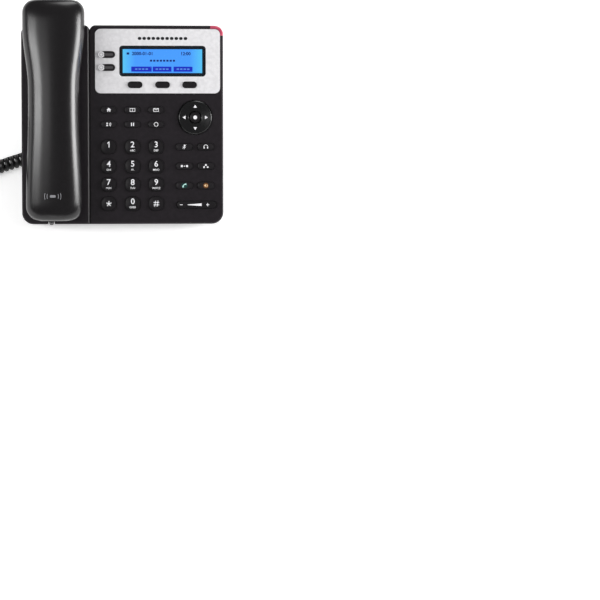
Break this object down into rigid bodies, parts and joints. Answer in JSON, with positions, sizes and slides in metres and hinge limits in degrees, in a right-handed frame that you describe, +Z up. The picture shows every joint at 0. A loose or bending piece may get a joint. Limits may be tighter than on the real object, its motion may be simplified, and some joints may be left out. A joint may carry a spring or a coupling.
{
  "type": "desk ip telephone",
  "caption": "Office desk telephone: tilted body on a stand, lift-off handset, display panel, keypad, round navigation key and a curly handset cord.",
  "frame": {"origin": "on the desk, in the middle of the telephone's plan without its cord", "axes": "+X to the user's right, +Y away from the user, +Z up"},
  "size_m": [0.2987, 0.1842, 0.1369],
  "materials": {
    "case": "fine matte grain",
    "silver_panel": "satin silver paint",
    "window": "clear, with a printed black border",
    "display": "backlit",
    "ribbon": "satin",
    "board": "solder mask",
    "membrane": "matte",
    "red_light": "translucent",
    "dark_metal": "satin",
    "bright_metal": "satin",
    "socket": "satin",
    "black_plastic": "satin",
    "rubber_pad": "matte",
    "plug": "gloss",
    "cord": "satin",
    "grey_key": "satin, with printed marks",
    "black_key": "satin, with printed marks",
    "handset": "semi-gloss"
  },
  "bodies": {
    "base": {"top_case": "case", "bottom_case": "case", "display_bezel": "silver_panel", "lcd_window": "window", "lcd_module": "display", "display_ribbon": "ribbon", "main_board": "board", "keypad_membrane": "membrane", "message_light": "red_light", "loudspeaker": "dark_metal", "handsfree_mic": "bright_metal", "network_jacks": "socket", "power_jack": "black_plastic", "cord_jacks": "black_plastic", "feet": "rubber_pad", "case_screws": "bright_metal", "desk_stand": "case", "base_plug": "plug", "cord_coil": "cord", "cord_leads": "cord"},
    "handset": {"handset_back": "handset", "handset_front": "handset", "receiver": "dark_metal", "handset_mic": "bright_metal", "handset_plug": "plug"},
    "hook": {"hook_plunger": "black_plastic"},
    "tab": {"hook_tab": "case"},
    "line_key_1": {"line_key_1": "grey_key"},
    "line_key_2": {"line_key_2": "grey_key"},
    "soft_key_1": {"soft_key_1": "black_key"},
    "soft_key_2": {"soft_key_2": "black_key"},
    "soft_key_3": {"soft_key_3": "black_key"},
    "home_key": {"home_key": "grey_key"},
    "contacts_key": {"contacts_key": "grey_key"},
    "mail_key": {"mail_key": "grey_key"},
    "page_key": {"page_key": "grey_key"},
    "hold_key": {"hold_key": "grey_key"},
    "ring_key": {"ring_key": "grey_key"},
    "digit_1": {"digit_1": "black_key"},
    "digit_2": {"digit_2": "black_key"},
    "digit_3": {"digit_3": "black_key"},
    "digit_4": {"digit_4": "black_key"},
    "digit_5": {"digit_5": "black_key"},
    "digit_6": {"digit_6": "black_key"},
    "digit_7": {"digit_7": "black_key"},
    "digit_8": {"digit_8": "black_key"},
    "digit_9": {"digit_9": "black_key"},
    "star_key": {"star_key": "black_key"},
    "digit_0": {"digit_0": "black_key"},
    "hash_key": {"hash_key": "black_key"},
    "ok_key": {"ok_key": "black_key"},
    "mute_key": {"mute_key": "grey_key"},
    "headset_key": {"headset_key": "grey_key"},
    "transfer_key": {"transfer_key": "grey_key"},
    "conference_key": {"conference_key": "grey_key"},
    "send_key": {"send_key": "grey_key"},
    "speaker_key": {"speaker_key": "grey_key"},
    "nav_pivot": {"nav_pivot": "bright_metal"},
    "nav_ring": {"nav_ring": "grey_key"},
    "volume_rocker": {"volume_rocker": "black_key"}
  },
  "joints": [
    {"name": "handset_lift", "type": "slide", "parent": "base", "child": "handset", "axis": [0, -0.4695, 0.8829], "range_m": [0, 0.08]},
    {"name": "hook_rise", "type": "slide", "parent": "base", "child": "hook", "axis": [0, -0.4695, 0.8829], "range_m": [0, 0.003]},
    {"name": "tab_slide", "type": "slide", "parent": "base", "child": "tab", "axis": [0, -0.4695, 0.8829], "range_m": [0, 0.005]},
    {"name": "line_key_1_press", "type": "slide", "parent": "base", "child": "line_key_1", "axis": [0, 0.4695, -0.8829], "range_m": [0, 0.0012], "stiffness_N_per_m": 450},
    {"name": "line_key_2_press", "type": "slide", "parent": "base", "child": "line_key_2", "axis": [0, 0.4695, -0.8829], "range_m": [0, 0.0012], "stiffness_N_per_m": 450},
    {"name": "soft_key_1_press", "type": "slide", "parent": "base", "child": "soft_key_1", "axis": [0, 0.4695, -0.8829], "range_m": [0, 0.0012], "stiffness_N_per_m": 450},
    {"name": "soft_key_2_press", "type": "slide", "parent": "base", "child": "soft_key_2", "axis": [0, 0.4695, -0.8829], "range_m": [0, 0.0012], "stiffness_N_per_m": 450},
    {"name": "soft_key_3_press", "type": "slide", "parent": "base", "child": "soft_key_3", "axis": [0, 0.4695, -0.8829], "range_m": [0, 0.0012], "stiffness_N_per_m": 450},
    {"name": "home_key_press", "type": "slide", "parent": "base", "child": "home_key", "axis": [0, 0.4695, -0.8829], "range_m": [0, 0.0012], "stiffness_N_per_m": 450},
    {"name": "contacts_key_press", "type": "slide", "parent": "base", "child": "contacts_key", "axis": [0, 0.4695, -0.8829], "range_m": [0, 0.0012], "stiffness_N_per_m": 450},
    {"name": "mail_key_press", "type": "slide", "parent": "base", "child": "mail_key", "axis": [0, 0.4695, -0.8829], "range_m": [0, 0.0012], "stiffness_N_per_m": 450},
    {"name": "page_key_press", "type": "slide", "parent": "base", "child": "page_key", "axis": [0, 0.4695, -0.8829], "range_m": [0, 0.0012], "stiffness_N_per_m": 450},
    {"name": "hold_key_press", "type": "slide", "parent": "base", "child": "hold_key", "axis": [0, 0.4695, -0.8829], "range_m": [0, 0.0012], "stiffness_N_per_m": 450},
    {"name": "ring_key_press", "type": "slide", "parent": "base", "child": "ring_key", "axis": [0, 0.4695, -0.8829], "range_m": [0, 0.0012], "stiffness_N_per_m": 450},
    {"name": "digit_1_press", "type": "slide", "parent": "base", "child": "digit_1", "axis": [0, 0.4695, -0.8829], "range_m": [0, 0.0012], "stiffness_N_per_m": 450},
    {"name": "digit_2_press", "type": "slide", "parent": "base", "child": "digit_2", "axis": [0, 0.4695, -0.8829], "range_m": [0, 0.0012], "stiffness_N_per_m": 450},
    {"name": "digit_3_press", "type": "slide", "parent": "base", "child": "digit_3", "axis": [0, 0.4695, -0.8829], "range_m": [0, 0.0012], "stiffness_N_per_m": 450},
    {"name": "digit_4_press", "type": "slide", "parent": "base", "child": "digit_4", "axis": [0, 0.4695, -0.8829], "range_m": [0, 0.0012], "stiffness_N_per_m": 450},
    {"name": "digit_5_press", "type": "slide", "parent": "base", "child": "digit_5", "axis": [0, 0.4695, -0.8829], "range_m": [0, 0.0012], "stiffness_N_per_m": 450},
    {"name": "digit_6_press", "type": "slide", "parent": "base", "child": "digit_6", "axis": [0, 0.4695, -0.8829], "range_m": [0, 0.0012], "stiffness_N_per_m": 450},
    {"name": "digit_7_press", "type": "slide", "parent": "base", "child": "digit_7", "axis": [0, 0.4695, -0.8829], "range_m": [0, 0.0012], "stiffness_N_per_m": 450},
    {"name": "digit_8_press", "type": "slide", "parent": "base", "child": "digit_8", "axis": [0, 0.4695, -0.8829], "range_m": [0, 0.0012], "stiffness_N_per_m": 450},
    {"name": "digit_9_press", "type": "slide", "parent": "base", "child": "digit_9", "axis": [0, 0.4695, -0.8829], "range_m": [0, 0.0012], "stiffness_N_per_m": 450},
    {"name": "star_key_press", "type": "slide", "parent": "base", "child": "star_key", "axis": [0, 0.4695, -0.8829], "range_m": [0, 0.0012], "stiffness_N_per_m": 450},
    {"name": "digit_0_press", "type": "slide", "parent": "base", "child": "digit_0", "axis": [0, 0.4695, -0.8829], "range_m": [0, 0.0012], "stiffness_N_per_m": 450},
    {"name": "hash_key_press", "type": "slide", "parent": "base", "child": "hash_key", "axis": [0, 0.4695, -0.8829], "range_m": [0, 0.0012], "stiffness_N_per_m": 450},
    {"name": "ok_key_press", "type": "slide", "parent": "base", "child": "ok_key", "axis": [0, 0.4695, -0.8829], "range_m": [0, 0.0012], "stiffness_N_per_m": 450},
    {"name": "mute_key_press", "type": "slide", "parent": "base", "child": "mute_key", "axis": [0, 0.4695, -0.8829], "range_m": [0, 0.0012], "stiffness_N_per_m": 450},
    {"name": "headset_key_press", "type": "slide", "parent": "base", "child": "headset_key", "axis": [0, 0.4695, -0.8829], "range_m": [0, 0.0012], "stiffness_N_per_m": 450},
    {"name": "transfer_key_press", "type": "slide", "parent": "base", "child": "transfer_key", "axis": [0, 0.4695, -0.8829], "range_m": [0, 0.0012], "stiffness_N_per_m": 450},
    {"name": "conference_key_press", "type": "slide", "parent": "base", "child": "conference_key", "axis": [0, 0.4695, -0.8829], "range_m": [0, 0.0012], "stiffness_N_per_m": 450},
    {"name": "send_key_press", "type": "slide", "parent": "base", "child": "send_key", "axis": [0, 0.4695, -0.8829], "range_m": [0, 0.0012], "stiffness_N_per_m": 450},
    {"name": "speaker_key_press", "type": "slide", "parent": "base", "child": "speaker_key", "axis": [0, 0.4695, -0.8829], "range_m": [0, 0.0012], "stiffness_N_per_m": 450},
    {"name": "nav_left_right", "type": "hinge", "parent": "base", "child": "nav_pivot", "pos_m": [0.0663, 0.00308, 0.06172], "axis": [0, 0.8829, 0.4695], "range_deg": [-3, 3], "stiffness_Nm_per_rad": 0.3},
    {"name": "nav_up_down", "type": "hinge", "parent": "nav_pivot", "child": "nav_ring", "pos_m": [0.0663, 0.00308, 0.06172], "axis": [1, 0, 0], "range_deg": [-3, 3], "stiffness_Nm_per_rad": 0.3},
    {"name": "volume_rock", "type": "hinge", "parent": "base", "child": "volume_rocker", "pos_m": [0.0676, -0.06778, 0.02438], "axis": [0, 0.8829, 0.4695], "range_deg": [-3, 3], "stiffness_Nm_per_rad": 0.3}
  ],
  "couplings": [
    {"joint": "hook_rise", "follows": "handset_lift", "ratio": 0.0375}
  ]
}
